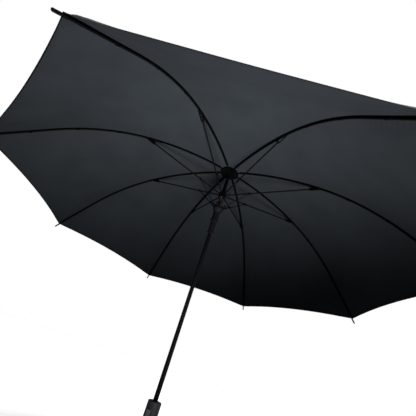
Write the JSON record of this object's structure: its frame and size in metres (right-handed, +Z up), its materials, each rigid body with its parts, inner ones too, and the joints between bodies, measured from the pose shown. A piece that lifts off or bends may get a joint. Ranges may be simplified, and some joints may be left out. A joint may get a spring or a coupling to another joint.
{
  "type": "golf umbrella",
  "caption": "Large straight-handled stick umbrella with a domed black cloth canopy on hinged ribs, a spring-driven double runner and a push-button handle.",
  "frame": {"origin": "centre of the flat bottom face of the handle", "axes": "+Z up the shaft towards the ferrule; +X along rib 1, on the push button's side; +Y left of that, so rib 3 lies along +Y"},
  "size_m": [1.3446, 1.3446, 1],
  "materials": {
    "cloth": "matt woven polyester, black",
    "rib_steel": "black lacquer",
    "rib_fibre": "black glass-fibre rod",
    "link_steel": "dark grey lacquer",
    "shaft_steel": "satin black lacquer",
    "wire": "bright wire",
    "black_plastic": "matt moulded nylon",
    "grip_foam": "matt foam rubber",
    "button_plastic": "satin dark grey"
  },
  "bodies": {
    "stick": {"shaft": "shaft_steel", "crown_hub": "black_plastic", "crown_hinge_wire": "wire", "crown_cap": "black_plastic", "ferrule": "black_plastic", "slider_stop_pin": "wire", "handle_core": "black_plastic", "handle_grip": "grip_foam", "handle_end_cap": "black_plastic", "handle_collar": "black_plastic"},
    "button": {"release_button": "button_plastic", "button_spring": "wire"},
    "catch": {"runner_catch": "wire"},
    "slider": {"upper_slider": "black_plastic", "slider_hinge_wire": "wire", "main_spring": "wire"},
    "runner": {"lower_runner": "black_plastic", "runner_hinge_wire": "wire", "runner_sleeve": "black_plastic"},
    "inner_rib_1": {"rib_inner_1": "rib_steel", "canopy_gore_1": "cloth"},
    "outer_rib_1": {"rib_outer_1": "rib_fibre"},
    "strut_1": {"stretcher_1": "rib_steel"},
    "short_link_1": {"link_1": "link_steel"},
    "inner_rib_2": {"rib_inner_2": "rib_steel", "canopy_gore_2": "cloth"},
    "outer_rib_2": {"rib_outer_2": "rib_fibre"},
    "strut_2": {"stretcher_2": "rib_steel"},
    "short_link_2": {"link_2": "link_steel"},
    "inner_rib_3": {"rib_inner_3": "rib_steel", "canopy_gore_3": "cloth"},
    "outer_rib_3": {"rib_outer_3": "rib_fibre"},
    "strut_3": {"stretcher_3": "rib_steel"},
    "short_link_3": {"link_3": "link_steel"},
    "inner_rib_4": {"rib_inner_4": "rib_steel", "canopy_gore_4": "cloth"},
    "outer_rib_4": {"rib_outer_4": "rib_fibre"},
    "strut_4": {"stretcher_4": "rib_steel"},
    "short_link_4": {"link_4": "link_steel"},
    "inner_rib_5": {"rib_inner_5": "rib_steel", "canopy_gore_5": "cloth"},
    "outer_rib_5": {"rib_outer_5": "rib_fibre"},
    "strut_5": {"stretcher_5": "rib_steel"},
    "short_link_5": {"link_5": "link_steel"},
    "inner_rib_6": {"rib_inner_6": "rib_steel", "canopy_gore_6": "cloth"},
    "outer_rib_6": {"rib_outer_6": "rib_fibre"},
    "strut_6": {"stretcher_6": "rib_steel"},
    "short_link_6": {"link_6": "link_steel"},
    "inner_rib_7": {"rib_inner_7": "rib_steel", "canopy_gore_7": "cloth"},
    "outer_rib_7": {"rib_outer_7": "rib_fibre"},
    "strut_7": {"stretcher_7": "rib_steel"},
    "short_link_7": {"link_7": "link_steel"},
    "inner_rib_8": {"rib_inner_8": "rib_steel", "canopy_gore_8": "cloth"},
    "outer_rib_8": {"rib_outer_8": "rib_fibre"},
    "strut_8": {"stretcher_8": "rib_steel"},
    "short_link_8": {"link_8": "link_steel"}
  },
  "joints": [
    {"name": "rib_1_fold", "type": "hinge", "parent": "stick", "child": "inner_rib_1", "pos_m": [0.01, 0, 0.935], "axis": [0, 1, 0], "range_deg": [0, 74.28], "stiffness_Nm_per_rad": 1.4, "springref_deg": -148.97, "deforming": ["canopy_gore_1"]},
    {"name": "rib_1_flex", "type": "hinge", "parent": "inner_rib_1", "child": "outer_rib_1", "pos_m": [0.32478, 0, 0.87851], "axis": [0, 1, 0], "range_deg": [-22, 0]},
    {"name": "stretcher_1_fold", "type": "hinge", "parent": "inner_rib_1", "child": "strut_1", "pos_m": [0.31163, 0, 0.88332], "axis": [0, 1, 0], "range_deg": [-148.57, 0]},
    {"name": "rib_2_fold", "type": "hinge", "parent": "stick", "child": "inner_rib_2", "pos_m": [0.00707, 0.00707, 0.935], "axis": [-0.7071, 0.7071, 0], "range_deg": [0, 74.28], "deforming": ["canopy_gore_2"]},
    {"name": "rib_2_flex", "type": "hinge", "parent": "inner_rib_2", "child": "outer_rib_2", "pos_m": [0.22965, 0.22965, 0.87851], "axis": [-0.7071, 0.7071, 0], "range_deg": [-22, 0]},
    {"name": "stretcher_2_fold", "type": "hinge", "parent": "inner_rib_2", "child": "strut_2", "pos_m": [0.22036, 0.22036, 0.88332], "axis": [-0.7071, 0.7071, 0], "range_deg": [-148.57, 0]},
    {"name": "rib_3_fold", "type": "hinge", "parent": "stick", "child": "inner_rib_3", "pos_m": [0, 0.01, 0.935], "axis": [-1, 0, 0], "range_deg": [0, 74.28], "deforming": ["canopy_gore_3"]},
    {"name": "rib_3_flex", "type": "hinge", "parent": "inner_rib_3", "child": "outer_rib_3", "pos_m": [0, 0.32478, 0.87851], "axis": [-1, 0, 0], "range_deg": [-22, 0]},
    {"name": "stretcher_3_fold", "type": "hinge", "parent": "inner_rib_3", "child": "strut_3", "pos_m": [0, 0.31163, 0.88332], "axis": [-1, 0, 0], "range_deg": [-148.57, 0]},
    {"name": "rib_4_fold", "type": "hinge", "parent": "stick", "child": "inner_rib_4", "pos_m": [-0.00707, 0.00707, 0.935], "axis": [-0.7071, -0.7071, 0], "range_deg": [0, 74.28], "deforming": ["canopy_gore_4"]},
    {"name": "rib_4_flex", "type": "hinge", "parent": "inner_rib_4", "child": "outer_rib_4", "pos_m": [-0.22965, 0.22965, 0.87851], "axis": [-0.7071, -0.7071, 0], "range_deg": [-22, 0]},
    {"name": "stretcher_4_fold", "type": "hinge", "parent": "inner_rib_4", "child": "strut_4", "pos_m": [-0.22036, 0.22036, 0.88332], "axis": [-0.7071, -0.7071, 0], "range_deg": [-148.57, 0]},
    {"name": "rib_5_fold", "type": "hinge", "parent": "stick", "child": "inner_rib_5", "pos_m": [-0.01, 0, 0.935], "axis": [0, -1, 0], "range_deg": [0, 74.28], "deforming": ["canopy_gore_5"]},
    {"name": "rib_5_flex", "type": "hinge", "parent": "inner_rib_5", "child": "outer_rib_5", "pos_m": [-0.32478, 0, 0.87851], "axis": [0, -1, 0], "range_deg": [-22, 0]},
    {"name": "stretcher_5_fold", "type": "hinge", "parent": "inner_rib_5", "child": "strut_5", "pos_m": [-0.31163, 0, 0.88332], "axis": [0, -1, 0], "range_deg": [-148.57, 0]},
    {"name": "rib_6_fold", "type": "hinge", "parent": "stick", "child": "inner_rib_6", "pos_m": [-0.00707, -0.00707, 0.935], "axis": [0.7071, -0.7071, 0], "range_deg": [0, 74.28], "deforming": ["canopy_gore_6"]},
    {"name": "rib_6_flex", "type": "hinge", "parent": "inner_rib_6", "child": "outer_rib_6", "pos_m": [-0.22965, -0.22965, 0.87851], "axis": [0.7071, -0.7071, 0], "range_deg": [-22, 0]},
    {"name": "stretcher_6_fold", "type": "hinge", "parent": "inner_rib_6", "child": "strut_6", "pos_m": [-0.22036, -0.22036, 0.88332], "axis": [0.7071, -0.7071, 0], "range_deg": [-148.57, 0]},
    {"name": "rib_7_fold", "type": "hinge", "parent": "stick", "child": "inner_rib_7", "pos_m": [0, -0.01, 0.935], "axis": [1, 0, 0], "range_deg": [0, 74.28], "deforming": ["canopy_gore_7"]},
    {"name": "rib_7_flex", "type": "hinge", "parent": "inner_rib_7", "child": "outer_rib_7", "pos_m": [0, -0.32478, 0.87851], "axis": [1, 0, 0], "range_deg": [-22, 0]},
    {"name": "stretcher_7_fold", "type": "hinge", "parent": "inner_rib_7", "child": "strut_7", "pos_m": [0, -0.31163, 0.88332], "axis": [1, 0, 0], "range_deg": [-148.57, 0]},
    {"name": "rib_8_fold", "type": "hinge", "parent": "stick", "child": "inner_rib_8", "pos_m": [0.00707, -0.00707, 0.935], "axis": [0.7071, 0.7071, 0], "range_deg": [0, 74.28], "deforming": ["canopy_gore_8"]},
    {"name": "rib_8_flex", "type": "hinge", "parent": "inner_rib_8", "child": "outer_rib_8", "pos_m": [0.22965, -0.22965, 0.87851], "axis": [0.7071, 0.7071, 0], "range_deg": [-22, 0]},
    {"name": "stretcher_8_fold", "type": "hinge", "parent": "inner_rib_8", "child": "strut_8", "pos_m": [0.22036, -0.22036, 0.88332], "axis": [0.7071, 0.7071, 0], "range_deg": [-148.57, 0]},
    {"name": "slider_hinge", "type": "hinge", "parent": "strut_1", "child": "slider", "pos_m": [0.01, 0, 0.83163], "axis": [0, 1, 0], "range_deg": [0, 74.28]},
    {"name": "runner_slide", "type": "slide", "parent": "slider", "child": "runner", "axis": [0, 0, 1], "range_m": [0, 0.03377], "deforming": ["main_spring"]},
    {"name": "link_1_swing", "type": "hinge", "parent": "runner", "child": "short_link_1", "pos_m": [0.0145, 0, 0.77843], "axis": [0, 1, 0], "range_deg": [-47.32, 0]},
    {"name": "link_2_swing", "type": "hinge", "parent": "runner", "child": "short_link_2", "pos_m": [0.01025, 0.01025, 0.77843], "axis": [-0.7071, 0.7071, 0], "range_deg": [-47.32, 0]},
    {"name": "link_3_swing", "type": "hinge", "parent": "runner", "child": "short_link_3", "pos_m": [0, 0.0145, 0.77843], "axis": [-1, 0, 0], "range_deg": [-47.32, 0]},
    {"name": "link_4_swing", "type": "hinge", "parent": "runner", "child": "short_link_4", "pos_m": [-0.01025, 0.01025, 0.77843], "axis": [-0.7071, -0.7071, 0], "range_deg": [-47.32, 0]},
    {"name": "link_5_swing", "type": "hinge", "parent": "runner", "child": "short_link_5", "pos_m": [-0.0145, 0, 0.77843], "axis": [0, -1, 0], "range_deg": [-47.32, 0]},
    {"name": "link_6_swing", "type": "hinge", "parent": "runner", "child": "short_link_6", "pos_m": [-0.01025, -0.01025, 0.77843], "axis": [0.7071, -0.7071, 0], "range_deg": [-47.32, 0]},
    {"name": "link_7_swing", "type": "hinge", "parent": "runner", "child": "short_link_7", "pos_m": [0, -0.0145, 0.77843], "axis": [1, 0, 0], "range_deg": [-47.32, 0]},
    {"name": "link_8_swing", "type": "hinge", "parent": "runner", "child": "short_link_8", "pos_m": [0.01025, -0.01025, 0.77843], "axis": [0.7071, 0.7071, 0], "range_deg": [-47.32, 0]},
    {"name": "button_press", "type": "slide", "parent": "stick", "child": "button", "axis": [-1, 0, 0], "range_m": [0, 0.002], "stiffness_N_per_m": 600, "springref_m": -0.001, "deforming": ["button_spring"]},
    {"name": "catch_press", "type": "slide", "parent": "stick", "child": "catch", "axis": [-1, 0, 0], "range_m": [0, 0.002]}
  ],
  "couplings": [
    {"joint": "rib_1_flex", "follows": "rib_1_fold", "ratio": -0.29619},
    {"joint": "stretcher_1_fold", "follows": "rib_1_fold", "ratio": -2},
    {"joint": "rib_2_fold", "follows": "rib_1_fold", "ratio": 1},
    {"joint": "rib_2_flex", "follows": "rib_1_fold", "ratio": -0.29619},
    {"joint": "stretcher_2_fold", "follows": "rib_1_fold", "ratio": -2},
    {"joint": "rib_3_fold", "follows": "rib_1_fold", "ratio": 1},
    {"joint": "rib_3_flex", "follows": "rib_1_fold", "ratio": -0.29619},
    {"joint": "stretcher_3_fold", "follows": "rib_1_fold", "ratio": -2},
    {"joint": "rib_4_fold", "follows": "rib_1_fold", "ratio": 1},
    {"joint": "rib_4_flex", "follows": "rib_1_fold", "ratio": -0.29619},
    {"joint": "stretcher_4_fold", "follows": "rib_1_fold", "ratio": -2},
    {"joint": "rib_5_fold", "follows": "rib_1_fold", "ratio": 1},
    {"joint": "rib_5_flex", "follows": "rib_1_fold", "ratio": -0.29619},
    {"joint": "stretcher_5_fold", "follows": "rib_1_fold", "ratio": -2},
    {"joint": "rib_6_fold", "follows": "rib_1_fold", "ratio": 1},
    {"joint": "rib_6_flex", "follows": "rib_1_fold", "ratio": -0.29619},
    {"joint": "stretcher_6_fold", "follows": "rib_1_fold", "ratio": -2},
    {"joint": "rib_7_fold", "follows": "rib_1_fold", "ratio": 1},
    {"joint": "rib_7_flex", "follows": "rib_1_fold", "ratio": -0.29619},
    {"joint": "stretcher_7_fold", "follows": "rib_1_fold", "ratio": -2},
    {"joint": "rib_8_fold", "follows": "rib_1_fold", "ratio": 1},
    {"joint": "rib_8_flex", "follows": "rib_1_fold", "ratio": -0.29619},
    {"joint": "stretcher_8_fold", "follows": "rib_1_fold", "ratio": -2},
    {"joint": "slider_hinge", "follows": "rib_1_fold", "ratio": 1},
    {"joint": "runner_slide", "follows": "rib_1_fold", "m_per_rad": 0.026044},
    {"joint": "link_1_swing", "follows": "rib_1_fold", "ratio": -0.63706},
    {"joint": "link_2_swing", "follows": "rib_1_fold", "ratio": -0.63706},
    {"joint": "link_3_swing", "follows": "rib_1_fold", "ratio": -0.63706},
    {"joint": "link_4_swing", "follows": "rib_1_fold", "ratio": -0.63706},
    {"joint": "link_5_swing", "follows": "rib_1_fold", "ratio": -0.63706},
    {"joint": "link_6_swing", "follows": "rib_1_fold", "ratio": -0.63706},
    {"joint": "link_7_swing", "follows": "rib_1_fold", "ratio": -0.63706},
    {"joint": "link_8_swing", "follows": "rib_1_fold", "ratio": -0.63706},
    {"joint": "catch_press", "follows": "button_press", "ratio": 1}
  ]
}
